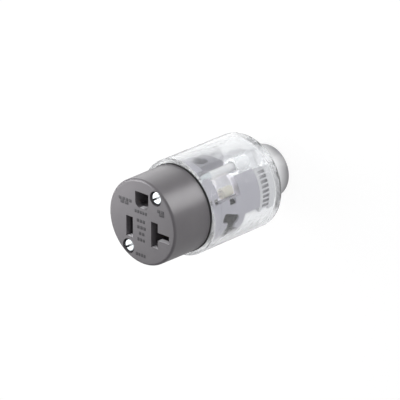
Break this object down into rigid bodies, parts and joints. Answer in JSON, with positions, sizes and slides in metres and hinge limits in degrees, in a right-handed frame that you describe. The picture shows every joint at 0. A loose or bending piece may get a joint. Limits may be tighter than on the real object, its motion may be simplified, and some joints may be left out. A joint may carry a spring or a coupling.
{
  "type": "lighted female cord connector",
  "caption": "Round straight-blade female cord connector with a grey nylon face body, a clear rear housing with the lamp and terminals showing inside, and a grey cord collar.",
  "frame": {"origin": "centre of the cord collar's end face, where the part stands", "axes": "+Z along the axis to the mating face, +Y to the ground slot, +X to the T-shaped neutral slot"},
  "size_m": [0.0376, 0.0376, 0.071],
  "materials": {
    "grey_nylon": "satin moulded",
    "block_nylon": "moulded",
    "collar_nylon": "moulded",
    "clear_polycarbonate": "clear polished",
    "gasket_rubber": "dull",
    "contact_brass": "rolled strip",
    "plated_steel": "bright zinc",
    "brass_screw": "bright",
    "green_screw": "dyed",
    "lamp_glass": "drawn glass",
    "resistor_film": "dipped",
    "tinned_wire": "tinned"
  },
  "bodies": {
    "root": {"face_body": "grey_nylon", "face_gasket": "gasket_rubber", "clear_housing": "clear_polycarbonate", "terminal_block": "block_nylon", "hot_contact": "contact_brass", "neutral_contact": "contact_brass", "ground_contact": "contact_brass", "hot_terminal_screw": "brass_screw", "neutral_terminal_screw": "plated_steel", "ground_terminal_screw": "green_screw", "hot_pressure_plate": "plated_steel", "neutral_pressure_plate": "plated_steel", "ground_pressure_plate": "plated_steel", "indicator_lamp": "lamp_glass", "lamp_resistor": "resistor_film", "lamp_leads": "tinned_wire", "assembly_screws": "plated_steel", "threaded_inserts": "plated_steel", "cord_grip": "collar_nylon", "left_jaw": "collar_nylon", "right_jaw": "collar_nylon"}
  },
  "joints": []
}
